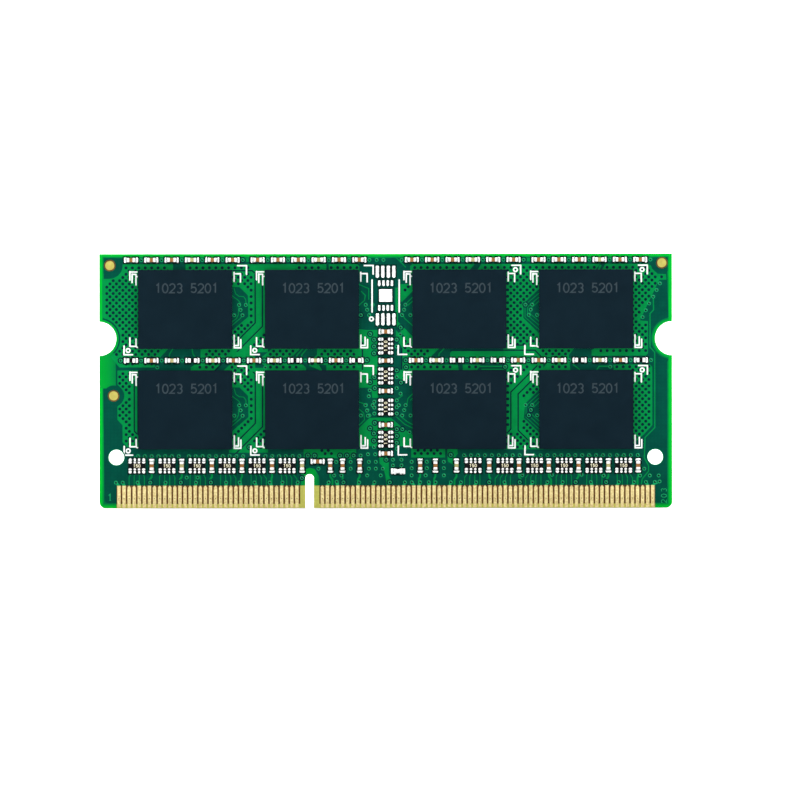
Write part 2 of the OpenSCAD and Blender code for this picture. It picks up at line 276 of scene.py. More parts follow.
def near_left_side(tree, x, z):
    """How strong the painted light is: 1 near the left side of the board, fading inwards; z plays no part."""
    return remap(tree, x, -31.6 * MM, -33.5 * MM, 0.3, 1.0)


def laminate_material(name, dark, light):
    """Cut glass and epoxy board: thin darker layers across its thickness, short pale fibres along it."""
    tree, shader = new_material(name)
    vector = coordinates(tree)
    layers = tree.nodes.new("ShaderNodeTexWave")
    layers.bands_direction = "Y"
    layers.inputs["Scale"].default_value = 1 / (0.16 * MM) / 3.2
    layers.inputs["Distortion"].default_value = 1.5
    tree.links.new(vector, layers.inputs["Vector"])
    fibres = noise(tree, coordinates(tree, (1, 6, 1)), 0.25, 5.0)
    tone = math_node(tree, "MULTIPLY", remap(tree, layers.outputs["Fac"], 0.0, 1.0, 0.45, 1.0),
                     remap(tree, fibres, 0.3, 0.7, 0.5, 1.0))
    tree.links.new(blend_colours(tree, tone, dark, light), shader.inputs["Base Color"])
    shader.inputs["Roughness"].default_value = 0.62
    shader.inputs["Specular IOR Level"].default_value = 0.2
    bump(tree, shader, fibres, 0.7, 0.01)


def moulding_material():
    """Moulded package: fine grain over slow cloudy changes."""
    tree, shader = new_material("moulding")
    vector = coordinates(tree)
    grain = noise(tree, vector, 0.09, 4.0)
    cloudy = noise(tree, vector, 2.5, 2.0)
    tree.links.new(blend_colours(tree, remap(tree, cloudy, 0.3, 0.7), (0.0027, 0.0100, 0.0163),
                                 (0.0034, 0.0117, 0.0186)), shader.inputs["Base Color"])
    tree.links.new(remap(tree, grain, 0.3, 0.7, 0.55, 0.75), shader.inputs["Roughness"])
    shader.inputs["Specular IOR Level"].default_value = 0.03
    bump(tree, shader, grain, 0.5, 0.008)


def gold_material():
    """Thin gold over nickel, with fine marks from sliding in and out of a socket."""
    tree, shader = new_material("gold")
    scratches = noise(tree, coordinates(tree, (12, 1, 0.6)), 0.5, 5.0)
    patches = noise(tree, coordinates(tree), 0.22, 4.0)
    tone = math_node(tree, "ADD", remap(tree, scratches, 0.3, 0.7, 0.0, 0.4),
                     remap(tree, patches, 0.35, 0.65, 0.0, 0.6), clamp=True)
    tree.links.new(blend_colours(tree, tone, (0.50, 0.37, 0.14), (0.84, 0.73, 0.36)),
                   shader.inputs["Base Color"])
    tree.links.new(remap(tree, scratches, 0.3, 0.7, 0.28, 0.46), shader.inputs["Roughness"])
    shader.inputs["Metallic"].default_value = 0.75
    bump(tree, shader, patches, 0.5, 0.006)


def make_materials():
    mask_material("mask_bare", (0.0001, 0.048, 0.033), (0.0002, 0.066, 0.041), (0.32, 0.46))
    mask_material("mask_copper", (0.0002, 0.178, 0.040), (0.0003, 0.226, 0.048), (0.30, 0.42), 0.2)
    surface("mask_gap", (0.0001, 0.010, 0.020), (0.0002, 0.017, 0.030), 0.4, (0.35, 0.45), 0.003,
            specular=0.03)
    surface("mask_shade", (0.0002, 0.005, 0.005), (0.0005, 0.012, 0.011), 0.4, (0.4, 0.5), 0.003,
            specular=0.02)
    glow_material("mask_rim", near_any_edge, (0.00015, 0.062, 0.042), (0.0004, 0.40, 0.024))
    glow_material("mask_glow", near_left_side, (0.0002, 0.085, 0.045), (0.0004, 0.29, 0.026))
    surface("via_ring", (0.003, 0.24, 0.075), (0.008, 0.32, 0.105), 0.3, (0.3, 0.4), 0.003, specular=0.05)
    surface("via_hole", (0.0005, 0.010, 0.012), (0.001, 0.022, 0.022), 0.1, (0.3, 0.5), 0.003, specular=0.05)
    surface("via_glint", (0.06, 0.24, 0.18), (0.12, 0.32, 0.26), 0.1, (0.3, 0.5), 0.003)
    laminate_material("laminate", (0.17, 0.15, 0.045), (0.34, 0.32, 0.12))
    laminate_material("bare_board", (0.34, 0.33, 0.06), (0.62, 0.62, 0.13))
    surface("contact_bed", (0.065, 0.026, 0.008), (0.15, 0.062, 0.018), 0.3, (0.5, 0.65), 0.006,
            specular=0.1)
    # painted shade: near-black for the lands and the openings around them, standing for the shade beside each
    # solder joint
    surface("land_shade", (0.0008, 0.006, 0.006), (0.003, 0.014, 0.012), 0.2, (0.3, 0.5), 0.004, 0.06,
            specular=0.05)
    surface("ink", (0.76, 0.80, 0.79), (0.88, 0.91, 0.90), 0.5, (0.55, 0.7), 0.004, 0.12)
    gold_material()
    surface("gold_wear", (0.16, 0.11, 0.03), (0.26, 0.19, 0.06), 0.05, (0.5, 0.6), 0.002)
    surface("fiducial_gold", (0.38, 0.335, 0.066), (0.48, 0.425, 0.10), 0.4, (0.34, 0.45), 0.004,
            metallic=0.7)
    surface("solder", (0.84, 0.86, 0.87), (0.95, 0.96, 0.96), 0.6, (0.20, 0.32), 0.002, 0.2, metallic=0.9)
    surface("tin", (0.80, 0.81, 0.81), (0.92, 0.92, 0.91), 0.3, (0.30, 0.42), 0.002, 0.12, metallic=0.85)
    moulding_material()
    surface("laser_mark", (0.022, 0.036, 0.045), (0.032, 0.048, 0.058), 0.1, (0.6, 0.75), 0.003,
            specular=0.1)
    surface("die", (0.10, 0.11, 0.13), (0.16, 0.17, 0.20), 1.0, (0.12, 0.2), 0.002, metallic=0.4)
    surface("substrate", (0.004, 0.055, 0.030), (0.008, 0.085, 0.045), 0.6, (0.3, 0.45), 0.004)
    surface("brown_ceramic", (0.22, 0.090, 0.024), (0.36, 0.18, 0.06), 0.12, (0.38, 0.55), 0.006, 0.06,
            specular=0.15)
    surface("tan_ceramic", (0.32, 0.29, 0.12), (0.46, 0.42, 0.20), 0.12, (0.38, 0.55), 0.006, 0.06,
            specular=0.15)
    surface("black_glaze", (0.0015, 0.0015, 0.002), (0.004, 0.004, 0.005), 0.2, (0.3, 0.4), 0.003, 0.08,
            specular=0.06)
    surface("cream_mark", (0.80, 0.74, 0.48), (0.92, 0.86, 0.60), 0.2, (0.5, 0.6), 0.003)


# ---------------------------------------------------------------- meshes

def new_piece(name, verts_mm, faces, material, smooth=False, replaced=()):
    """Make an object of points in mm, and hang it on the board."""
    mesh = bpy.data.meshes.new(name)
    mesh.from_pydata([(x * MM, y * MM, z * MM) for x, y, z in verts_mm], [], faces)
    mesh.update()
    mesh.materials.append(materials[material])
    mesh.polygons.foreach_set("use_smooth", [smooth] * len(mesh.polygons))
    piece = bpy.data.objects.new(name, mesh)
    bpy.context.scene.collection.objects.link(piece)
    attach(piece, "root")
    for node in replaced:
        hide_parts(node)


class Solids:
    """Collects closed solids drawn on a face of the board: x and z as seen from the front, and a height."""

    def __init__(self, side):
        self.side = side
        self.verts = []
        self.faces = []

    def add(self, points, faces):
        """points are (x, z, height over the middle of the board), with faces wound for the back face."""
        start = len(self.verts)
        self.verts += [(x, self.side * height, z) for x, z, height in points]
        for face in faces:
            ring = [start + i for i in face]
            self.faces.append(ring if self.side == BACK else ring[::-1])

    def stack(self, rings):
        """A closed solid through rings of points, from the board outwards."""
        count = len(rings[0])
        faces = [list(range(count))]
        for r in range(len(rings) - 1):
            for i in range(count):
                j = (i + 1) % count
                a, b = r * count, (r + 1) * count
                faces.append([a + j, a + i, b + i, b + j])
        last = (len(rings) - 1) * count
        faces.append([last + i for i in reversed(range(count))])
        self.add([point for ring in rings for point in ring], faces)

    def prism(self, outline, low, high, chamfer=0.0):
        """An outline, anticlockwise as seen from the front, from one height to another."""
        rings = [[(x, z, low) for x, z in outline]]
        if chamfer:
            rings.append([(x, z, high - chamfer) for x, z in outline])
            outline = inset(outline, chamfer)
        self.stack(rings + [[(x, z, high) for x, z in outline]])

    def make(self, name, material, smooth=False, replaced=()):
        new_piece(name, self.verts, self.faces, material, smooth, replaced)


def inset(outline, amount):
    """Move a convex outline inwards."""
    moved = []
    for i, here in enumerate(outline):
        before, after = outline[i - 1], outline[(i + 1) % len(outline)]
        into = Vector((here[0] - before[0], here[1] - before[1])).normalized()
        out = Vector((after[0] - here[0], after[1] - here[1])).normalized()
        left_in, left_out = Vector((-into.y, into.x)), Vector((-out.y, out.x))
        middle = (left_in + left_out).normalized()
        reach = amount / max(0.3, middle.dot(left_in))
        moved.append((here[0] + middle.x * reach, here[1] + middle.y * reach))
    return moved


def rectangle(x0, z0, x1, z1):
    return [(x0, z0), (x1, z0), (x1, z1), (x0, z1)]


def around(box, margin):
    """The outline of a box, grown on every side."""
    low, high = box
    return rectangle(low.x - margin, low.z - margin, high.x + margin, high.z + margin)


def circle(x, z, radius, count=12):
    return [(x + radius * math.cos(2 * math.pi * i / count), z + radius * math.sin(2 * math.pi * i / count))
            for i in range(count)]


def arc(x, z, radius, start, end, count=12):
    """A round stretch between two angles in degrees, counted from +X towards +Z."""
    angles = [math.radians(start + (end - start) * i / count) for i in range(count + 1)]
    return [(x + radius * math.cos(a), z + radius * math.sin(a)) for a in angles]


def ribbon(points, width):
    """A band of one width along a bent line, with mitred bends."""
    left, right = [], []
    for i, here in enumerate(points):
        here = Vector(here)
        into = (here - Vector(points[i - 1])).normalized() if i else None
        out = (Vector(points[i + 1]) - here).normalized() if i < len(points) - 1 else None
        along = (into or out) + (out or into)
        along.normalize()
        across = Vector((-along.y, along.x))
        reach = width / 2 / max(0.4, abs(along.dot(out or into)))
        left.append(tuple(here + across * reach))
        right.append(tuple(here - across * reach))
    return left + right[::-1]


def digit_paths(digit):
    """The centre lines of a digit in a box 0.6 wide and 1 high."""
    if digit == "0":
        return [[(0.3 + 0.3 * math.cos(a), 0.5 + 0.5 * math.sin(a)) for a in sweep]
                for sweep in ([math.radians(20 * i) for i in range(10)],
                              [math.radians(180 + 20 * i) for i in range(10)])]
    if digit == "1":
        return [[(0.12, 0.8), (0.34, 1.0), (0.34, 0.0)]]
    if digit == "2":
        return [arc(0.3, 0.7, 0.3, 165, -40, 9) + [(0.02, 0.0), (0.6, 0.0)]]
    if digit == "3":
        return [arc(0.3, 0.74, 0.26, 150, -85, 9), arc(0.3, 0.26, 0.27, 85, -150, 9)]
    if digit == "4":
        return [[(0.46, 0.0), (0.46, 1.0), (0.02, 0.28), (0.6, 0.28)]]
    return [[(0.56, 1.0), (0.1, 1.0), (0.07, 0.54)] + arc(0.28, 0.33, 0.3, 110, -150, 9)]


def number_paths(text, x, z, height, turned=False, gap=0.2):
    """The centre lines of a number in mm, from its lower left; turned reads upwards."""
    paths = []
    for place, digit in enumerate(text):
        if digit == " ":
            continue
        start = place * (0.6 + gap)
        for path in digit_paths(digit):
            line = [((start + u) * height, v * height) for u, v in path]
            paths.append([(x - v, z + u) if turned else (x + u, z + v) for u, v in line])
    return paths


# ---------------------------------------------------------------- copper under the lacquer

NOTHING, BARE, RIM, GLOW, COPPER, DOTTED, GAP, SHADE, RING, HOLE, GLINT = range(-1, 10)
TRACE_W = 0.11
GAP_W = 0.16
VIA_R = 0.225
VIA_HOLE_R = 0.135
VIA_GAP_R = 0.37
LOW_HOLES_Z = 3.03                        # the row of plated holes nearest to the contacts


class Artwork:
    """Shapes painted one over another, in mm, as seen from the front."""

    def __init__(self):
        self.shapes = []

    def paint(self, kind, outline):
        self.shapes.append((kind, np.array(outline, float)))

    def pour(self, outline, dotted=True):
        self.paint(DOTTED if dotted else COPPER, outline)

    def gap(self, points, width=GAP_W):
        self.paint(GAP, ribbon(points, width))

    def trace(self, points, width=TRACE_W):
        self.paint(COPPER, ribbon(points, width))

    def kinds_at(self, points):
        """The kind that shows at each point."""
        kinds = np.full(len(points), NOTHING)
        for kind, outline in self.shapes:
            low, high = outline.min(0), outline.max(0)
            near = np.nonzero(((points >= low) & (points <= high)).all(1))[0]
            if len(near):
                kinds[near[inside(points[near], outline)]] = kind
        return kinds


def inside(points, outline):
    """Which points lie within a closed outline."""
    x, z = points[:, 0], points[:, 1]
    result = np.zeros(len(points), bool)
    x0, z0 = outline[-1]
    for x1, z1 in outline:
        if z0 != z1:
            result ^= ((z0 > z) != (z1 > z)) & (x < (x1 - x0) * (z - z0) / (z1 - z0) + x0)
        x0, z0 = x1, z1
    return result


def board_outline(corner=0.75):
    """The board with its notches and key slot, anticlockwise from the bottom left."""
    points = arc(-HALF_W + corner, corner, corner, 180, 270, 6)
    points += [(KEY_X - KEY_R, 0)] + arc(KEY_X, KEY_TOP - KEY_R, KEY_R, 180, 0, 12) + [(KEY_X + KEY_R, 0)]
    points += arc(HALF_W - corner, corner, corner, 270, 360, 6)
    points += arc(HALF_W, NOTCH_Z, NOTCH_R, 270, 90, 24)
    points += [(HALF_W, BOARD_H), (-HALF_W, BOARD_H)]
    points += arc(-HALF_W, NOTCH_Z, NOTCH_R, 90, -90, 24)
    return points


def paint_rim(art):
    """The board is bright in a strip along every edge, where no inner copper lies behind it: the lacquer's
    own colour over bare board, lit up by painted light coming through the edge.
    """
    art.paint(RIM, board_outline())
    side, top = 0.6, 0.5
    art.paint(BARE, [(-HALF_W + side, 0.6)] + arc(-HALF_W + side + 0.5, 1.1, 0.5, 180, 270, 4)
              + arc(HALF_W - side - 0.5, 1.1, 0.5, 270, 360, 4)
              + [(HALF_W - side, 17.1)] + arc(HALF_W, NOTCH_Z, 2.5, 260, 100, 16)
              + [(HALF_W - side, BOARD_H - top), (-HALF_W + side, BOARD_H - top)]
              + arc(-HALF_W, NOTCH_Z, 2.3, 80, -80, 16))
    # painted light coming through the board, brightest at the left side
    art.paint(GLOW, [(-HALF_W, 18.3), (-31.9, 18.3), (-31.85, 15.4), (-31.85, 14.5), (-32.3, 14.15),
                     (-HALF_W, 14.15)])
    # painted light coming through the board around the key slot
    art.paint(RIM, [(KEY_X - 1.1, 2.6), (KEY_X - 0.95, 3.6), (KEY_X - 0.6, 4.5), (KEY_X, 4.75),
                    (KEY_X + 0.6, 4.6), (KEY_X + 1.1, 3.8), (KEY_X + 1.2, 2.6)])
    for side in (-1, 1):
        art.paint(RING, circle(side * HOLE_X, HOLE_Z, HOLE_R + 0.07, 36))


def paint_left_margin(art):
    """Copper between the left side and the outer packages."""
    notch = arc(-HALF_W, NOTCH_Z, 2.48, -58, 78, 14)
    clearing = arc(-32.6, 28.65, 1.57, -90, 4, 8)
    art.pour([(-33.42, 27.08)] + clearing + [(-31.0, 28.78), (-25.1, 28.78), (-25.1, 27.6), (-28.4, 27.6),
             (-28.4, 19.2), (-25.3, 19.2), (-27.1, 17.3), (-27.3, 16.62), (-31.4, 16.62), (-31.72, 16.95)]
             + notch + [(-33.42, 22.5)])
    # beside the lower left package, around the fiducial
    art.pour([(-31.67, 16.25), (-31.67, 14.6)] + arc(-32.12, 13.27, 1.27, 45, -55, 8)
             + [(-31.67, 12.0), (-31.67, 10.45), (-31.06, 9.8), (-31.06, 7.8), (-30.6, 7.25), (-28.6, 7.25),
                (-28.6, 16.25)])
    art.gap([(-29.68, 15.1), (-29.68, 9.1), (-29.35, 8.75)])
    art.gap([(-29.25, 15.6), (-29.25, 8.6)])


def paint_top_strip(art):
    """Copper behind the top row of capacitors."""
    art.pour(rectangle(-23.6, 27.7, -7.0, 28.78))
    art.pour(rectangle(-14.4, 27.8, -11.2, 28.78), dotted=False)
    art.pour([(-6.7, 27.7), (-6.7, 28.78), (-3.35, 28.78), (-3.1, 28.55), (-3.1, 27.7)])
    art.pour([(2.9, 27.7), (2.9, 28.55), (3.15, 28.78), (10.5, 28.78), (9.6, 27.7)])
    art.pour([(10.6, 27.7), (11.3, 28.78), (25.3, 28.78), (24.8, 28.1), (24.5, 27.7)])
    art.pour([(25.3, 27.7), (25.95, 28.78), (31.1, 28.78), (31.1, 27.7)])
    art.trace([(24.9, 27.8), (25.2, 28.2), (25.4, 28.65)], 0.2)
    for x in (-16.6, 16.6):
        art.pour(rectangle(x - 0.45, 29.08, x + 0.45, 29.5), dotted=False)


def paint_package_gap(art, dz):
    """Between the two left columns of packages, one row up or down."""
    def up(points):
        return [(x, z + dz) for x, z in points]
    art.pour(up(rectangle(-18.5, 18.4, -13.9, 28.4)))
    art.pour(up([(-15.35, 28.3), (-15.35, 21.9), (-18.4, 18.9), (-18.4, 18.4), (-17.6, 18.4), (-14.6, 21.4),
                 (-14.6, 28.3)]), dotted=False)
    art.gap(up([(-18.4, 28.02), (-15.75, 28.02), (-15.4, 27.7), (-15.4, 21.85), (-18.5, 18.75)]))
    art.gap(up([(-14.55, 27.6), (-14.55, 21.45), (-17.6, 18.4), (-17.95, 18.05), (-17.95, 17.9)]))
    art.paint(BARE, up([(-18.5, 26.1), (-17.25, 26.1), (-16.25, 25.1), (-16.2, 22.6), (-18.5, 20.6)]))
    for line in ([(-18.4, 25.35), (-17.9, 24.9), (-17.35, 24.5), (-17.1, 24.0)],
                 [(-17.9, 26.0), (-17.7, 25.3), (-17.3, 25.0), (-16.75, 24.95), (-16.5, 24.6),
                  (-16.48, 24.0)],
                 [(-18.4, 21.75), (-17.6, 22.4), (-17.4, 22.8), (-17.3, 23.9)],
                 [(-18.4, 21.35), (-17.2, 22.35), (-16.88, 22.75)]):
        art.trace(up(line), 0.09)


def paint_right_gap(art):
    """Between the two right columns of packages."""
    art.pour(rectangle(13.9, 16.2, 18.6, 28.6))
    art.paint(BARE, [(18.6, 26.3), (16.25, 24.1), (16.25, 22.4), (18.6, 20.1)])
    art.pour([(7.6, 17.2), (7.6, 18.3), (7.85, 18.5), (17.5, 18.5), (18.3, 17.8), (18.3, 16.9)], dotted=False)
    art.gap([(7.6, 18.6), (17.6, 18.6), (18.9, 17.3)])
    art.gap([(15.2, 19.2), (16.6, 19.2)])
    # the lower row
    art.pour(rectangle(13.9, 6.9, 18.6, 16.9))
    art.pour([(14.8, 13.6), (17.6, 16.4), (18.1, 15.9), (15.6, 13.4), (15.6, 9.2), (14.8, 9.3)], dotted=False)
    art.gap([(17.9, 16.8), (14.76, 13.66), (14.76, 9.3), (14.3, 8.8)])
    art.gap([(18.3, 16.1), (15.62, 13.42), (15.62, 9.15), (16.8, 8.0)])
    art.paint(BARE, [(18.6, 14.4), (16.45, 12.3), (16.3, 10.6), (18.6, 8.4)])
    for left, (top, upper, lower, bottom) in ((16.45, (25.75, 23.95, 22.5, 20.6)),
                                              (16.55, (13.9, 12.05, 10.7, 8.8))):
        for step in range(3):
            x = left + 0.3 * step
            art.trace([(18.6, top - 0.45 * step), (x, upper - 0.25 * step), (x, lower + 0.2 * step),
                       (18.6, bottom + 0.5 * step)], 0.08)


def paint_right_margin(art):
    """Copper between the outer packages and the right side."""
    art.pour([(28.9, 28.6), (31.3, 28.6), (31.45, 28.2), (32.1, 27.6), (33.1, 27.55), (33.15, 26.9),
              (32.3, 26.9), (30.0, 22.1), (30.95, 22.0), (30.95, 18.2), (30.7, 17.95), (28.9, 17.95)])
    art.pour([(28.9, 16.9), (31.2, 16.9), (31.45, 16.6), (31.45, 9.75), (30.4, 8.6), (28.9, 7.3)])
    art.pour([(24.3, 17.95), (24.3, 18.6), (24.6, 18.8), (30.0, 18.8), (30.0, 17.95)])
    art.trace([(31.58, 24.9), (31.62, 23.35), (31.2, 22.9), (31.2, 18.95), (31.74, 18.35), (31.74, 9.45),
               (30.6, 8.3), (30.5, 5.9), (31.0, 4.95), (31.0, 4.3), (30.25, 3.4), (30.15, 2.8)], 0.13)


def paint_middle_strip(art):
    """Copper between the two rows of packages."""
    art.pour(rectangle(-18.6, 17.8, -15.6, 18.45), dotted=False)
    art.pour([(-21.85, 18.75), (-21.85, 17.5), (-23.0, 16.6), (-23.0, 16.1), (-20.4, 16.1), (-17.95, 18.6),
              (-17.95, 18.9)])
    art.pour([(-18.4, 16.1), (-15.4, 16.1), (-15.4, 17.9), (-17.2, 17.9), (-19.1, 16.3)])
    art.pour([(-13.3, 18.9), (-10.2, 18.9), (-11.6, 17.4), (-11.6, 16.95), (-9.8, 16.95), (-9.4, 16.5),
              (-9.4, 16.1), (-13.8, 16.1), (-14.2, 16.7), (-15.0, 17.5)])
    art.pour([(-8.1, 18.9), (-8.1, 18.1), (-9.0, 17.3), (-9.0, 16.8), (-7.4, 16.1), (-7.9, 16.9),
              (-2.4, 17.0), (-2.4, 18.9)])
    art.pour(rectangle(-7.0, 16.1, -3.0, 16.9))
    art.pour([(2.0, 18.9), (6.4, 18.9), (5.4, 17.95), (5.4, 16.9), (8.5, 16.9), (8.65, 16.1), (2.2, 16.1)])
    art.pour([(9.1, 16.1), (9.1, 16.9), (11.2, 16.9), (10.7, 16.1)])
    art.pour([(18.1, 18.9), (22.3, 18.9), (21.6, 18.0), (21.8, 16.1), (18.3, 16.1), (18.9, 16.9)])
    art.pour(rectangle(26.9, 16.1, 31.0, 16.9))
    for line in ([(-25.0, 19.0), (-25.5, 18.2), (-25.6, 17.5)],
                 [(-22.9, 19.0), (-22.75, 18.2), (-22.3, 17.6)],
                 [(-10.1, 18.9), (-11.0, 18.0)], [(-9.7, 18.9), (-10.5, 18.0), (-10.5, 16.2)],
                 [(-9.2, 18.9), (-9.9, 18.1), (-9.9, 17.2)], [(7.0, 18.9), (6.3, 18.2), (6.2, 17.2)],
                 [(11.3, 16.35), (14.0, 16.35)], [(11.0, 16.7), (13.9, 16.7)],
                 [(24.9, 16.3), (25.2, 16.7), (26.4, 16.7)], [(22.0, 17.0), (22.9, 16.3)]):
        art.trace(line, 0.13)
    art.gap([(-19.2, 17.2), (-20.3, 16.1)])


def paint_centre(art):
    """The strip between the inner packages."""
    art.pour([(1.75, 26.4), (3.5, 26.4), (3.5, 25.9), (1.9, 24.3), (1.75, 24.5)])
    art.pour([(1.15, 26.0), (1.45, 26.0), (1.45, 22.0), (3.5, 19.9), (3.5, 18.3), (2.2, 18.3), (2.2, 20.3),
              (1.15, 21.6)], dotted=False)
    art.pour([(-3.5, 21.1), (-3.1, 21.1), (-2.2, 21.0), (-0.95, 21.0), (-0.95, 16.1), (-3.5, 16.1)],
             dotted=False)
    art.pour([(1.2, 21.0), (2.1, 20.0), (3.5, 19.6), (3.5, 16.1), (1.9, 16.1), (1.9, 19.0), (1.2, 20.0)])
    art.gap([(1.9, 18.9), (1.9, 15.9)])
    art.gap([(-2.75, 19.6), (-2.75, 16.2)])
    art.pour([(-3.5, 16.3), (-0.9, 16.3), (-0.9, 13.0), (-1.6, 13.0), (-1.7, 14.2), (-3.5, 14.2)],
             dotted=False)
    art.pour([(-1.9, 10.65), (0.6, 10.65), (1.0, 10.3), (2.1, 9.35), (3.5, 8.4), (3.5, 5.95), (7.0, 5.95),
              (7.0, 7.3), (-9.7, 7.3), (-9.7, 6.0), (-3.5, 5.8), (-3.5, 8.9), (-3.0, 9.6)], dotted=False)
    art.pour(rectangle(3.0, 5.95, 7.0, 7.3))
    art.pour(rectangle(-8.4, 5.95, -6.0, 7.3))
    art.pour([(7.25, 7.2), (8.4, 7.2), (8.5, 6.4), (8.1, 5.9), (8.1, 5.0), (7.3, 5.5)], dotted=False)
    art.pour([(-0.75, 6.1), (0.35, 6.1), (0.35, 3.9), (0.62, 3.3), (0.62, 2.72), (0.08, 2.72), (-0.05, 3.8),
              (-0.3, 4.8), (-0.75, 5.3)], dotted=False)
    art.pour([(1.7, 14.5), (3.5, 15.9), (3.5, 16.3), (1.2, 16.3), (1.2, 15.6), (1.7, 15.2)], dotted=False)
    for line in ([(-3.4, 11.9), (-2.6, 11.2), (-2.5, 10.4), (-3.4, 9.5)], [(-3.4, 12.6), (-2.3, 12.2)],
                 [(1.1, 10.9), (2.2, 9.9), (3.4, 9.3)], [(1.3, 11.2), (2.5, 10.2), (3.4, 9.7)],
                 [(3.4, 13.7), (2.6, 12.9), (2.5, 12.2)], [(3.4, 13.2), (2.9, 12.7)],
                 [(1.2, 12.7), (2.0, 13.3)], [(-2.9, 25.6), (-2.4, 25.1), (-2.5, 24.5), (-3.4, 23.7)],
                 [(-3.4, 26.5), (-2.0, 25.9), (-2.0, 24.6)], [(-3.4, 22.3), (-2.6, 23.0)],
                 [(3.4, 25.1), (2.5, 24.2)], [(3.4, 24.6), (2.6, 23.9)],
                 [(3.4, 21.3), (2.2, 22.4), (2.1, 22.7)],
                 [(1.6, 21.4), (3.4, 19.7)], [(-1.9, 29.6), (1.2, 29.6), (2.4, 28.4)],
                 [(0.9, 21.7), (1.77, 21.3)]):
        art.trace(line, 0.1)


def nearest_contact(x):
    """The middle of the contact nearest to x."""
    return round((x - CONTACT_PITCH / 2) / CONTACT_PITCH) * CONTACT_PITCH + CONTACT_PITCH / 2


def trace_to_contact(art, x, target, bend, width):
    """Straight down from a small part, at a slant from the bend's height, and onto a contact."""
    art.trace([(x, 4.15), (x, bend), (target, bend - 0.1 - abs(target - x)), (target, CONTACT_TOP + 0.02)],
              width)


def paint_bottom(art):
    """Traces from the resistor arrays and capacitors down to the contacts."""
    for mid in map(centre, solids("resistor_arrays_front")):
        if mid.z > 6:
            continue
        for place in (-1.5, -0.5, 0.5, 1.5):
            x = mid.x + place * 0.5
            trace_to_contact(art, x, nearest_contact(mid.x + place * CONTACT_PITCH), 3.95, 0.085)
            art.trace([(x, 5.95), (x, 6.2)], 0.085)
    for mid in map(centre, solids("brown_capacitors_front") + solids("tan_capacitors_front")):
        if mid.z < 5.2:
            trace_to_contact(art, mid.x, nearest_contact(mid.x), 3.7, 0.22)


# single plated holes in rows (height, then places along it), in columns (place, then heights), and alone
HOLE_ROWS = (
    (29.29, (-1.9, -1.05, -0.25, 1.9)), (16.65, (14.1, 26.5)), (6.35, (-2.1, -1.25)),
    (6.2, (-9.2, -8.4, -5.4, -4.6, -3.8, -2.97)), (5.7, (0.06, 0.85, 1.85)),
    (5.45, (-5.85, -4.15, -2.0, -1.18, 3.05, 4.85, 6.85)), (5.03, (0.85, 1.85)), (4.7, (3.05, 4.85, 6.85)),
    (4.65, (-7.95, -4.15, -2.0, -1.18, -0.35)), (3.9, (19.6, 23.1)),
    (3.85, (-6.1, -5.25, -2.2, -0.6, 3.05, 4.7, 6.85, 16.1)), (3.8, (25.7, 30.0, 31.15, 32.2)),
    (3.62, (-23.5, -22.2)), (3.1, (-5.8, 32.3)),
    (LOW_HOLES_Z, (-31.85, -31.05, -29.3, -27.8, -26.0, -24.2, -22.4, -20.65, -18.85, -17.25, -15.5, -13.7,
                   -12.2, -10.4, -6.75, -5.0, -3.15, -1.35, 0.46, 2.25, 3.06, 4.05, 5.87, 7.67, 8.87, 10.66,
                   12.2, 14.0, 15.8, 17.3, 19.07, 20.87, 22.4, 24.2, 26.0, 27.5, 29.3, 30.7, 31.75)),
)
HOLE_COLUMNS = (
    (-1.4, (7.2, 7.95, 8.8)), (-1.3, (10.05, 14.15)), (-1.35, (11.15, 11.85, 12.55, 15.45)),
    (-1.37, (18.25, 19.06, 19.87)), (-1.85, (9.4, 14.85)),
    (1.3, (7.0, 7.7, 8.5, 9.3, 11.15, 11.9, 12.7, 14.15, 15.45, 16.25, 19.06, 19.87)),
)
LONE_HOLES = (
    (-2.1, 10.9), (-2.2, 11.5), (-2.4, 12.15), (-2.0, 13.2), (-1.9, 13.9), (1.95, 9.3), (2.8, 8.95),
    (1.75, 13.5), (1.8, 14.8), (2.4, 16.6), (-1.83, 20.54), (-2.2, 17.46), (1.77, 21.3), (1.73, 20.5),
    (32.38, 26.47), (31.98, 25.7), (31.58, 24.9), (31.1, 24.1), (30.7, 23.3), (30.33, 22.5), (30.5, 4.6),
    (-26.95, 16.62), (-14.2, 16.6), (-16.1, 7.2), (7.66, 6.25), (5.07, 3.05), (-9.9, 3.55),
)


def list_vias():
    """The middles of all the plated holes."""
    vias = [(mid.x + 1.2, mid.z)
            for mid in map(centre, solids("brown_capacitors_front") + solids("tan_capacitors_front"))
            if mid.z > 29]
    for x, z, pitch, count in ((-31.28, 17.43, 2.42, 13), (2.36, 17.43, 2.413, 13), (-29.23, 6.16, 0.8, 7),
                               (-23.23, 6.16, 0.8, 9), (-14.2, 6.16, 0.8, 6), (9.24, 6.22, 0.82, 26)):
        vias += [(x + pitch * i, z) for i in range(count)]
    fan = ((6.36, 0.54), (7.15, 0.54), (6.52, -0.05), (6.76, -0.68), (5.78, -0.68))
    for mid in map(centre, packages[FRONT]):
        side = 1 if mid.x < 0 else -1
        vias += [(mid.x + side * dx, mid.z + dz) for dx, dz in fan]
    vias += [(x, z) for z, places in HOLE_ROWS for x in places]
    vias += [(x, z) for x, heights in HOLE_COLUMNS for z in heights]
    return vias + list(LONE_HOLES)


def meets_hole(middle, vias):
    """Whether one of the plated holes just above the contacts is nearest to this contact."""
    return any(abs(middle - max(-LAST_CONTACT, min(LAST_CONTACT, x))) < CONTACT_PITCH / 2
               for x, z in vias if abs(z - LOW_HOLES_Z) < 0.15)


def paint_contact_stubs(art, vias):
    """Short wide copper from the lowest plated holes down to their contacts."""
    for low, high in solids("edge_contacts_front"):
        mid = (low.x + high.x) / 2
        for x, z in vias:
            if meets_hole(mid, [(x, z)]):
                art.paint(RING, [(x - 0.13, z - 0.1), (mid - 0.2, CONTACT_TOP), (mid + 0.2, CONTACT_TOP),
                                 (x + 0.2, z - 0.02)])


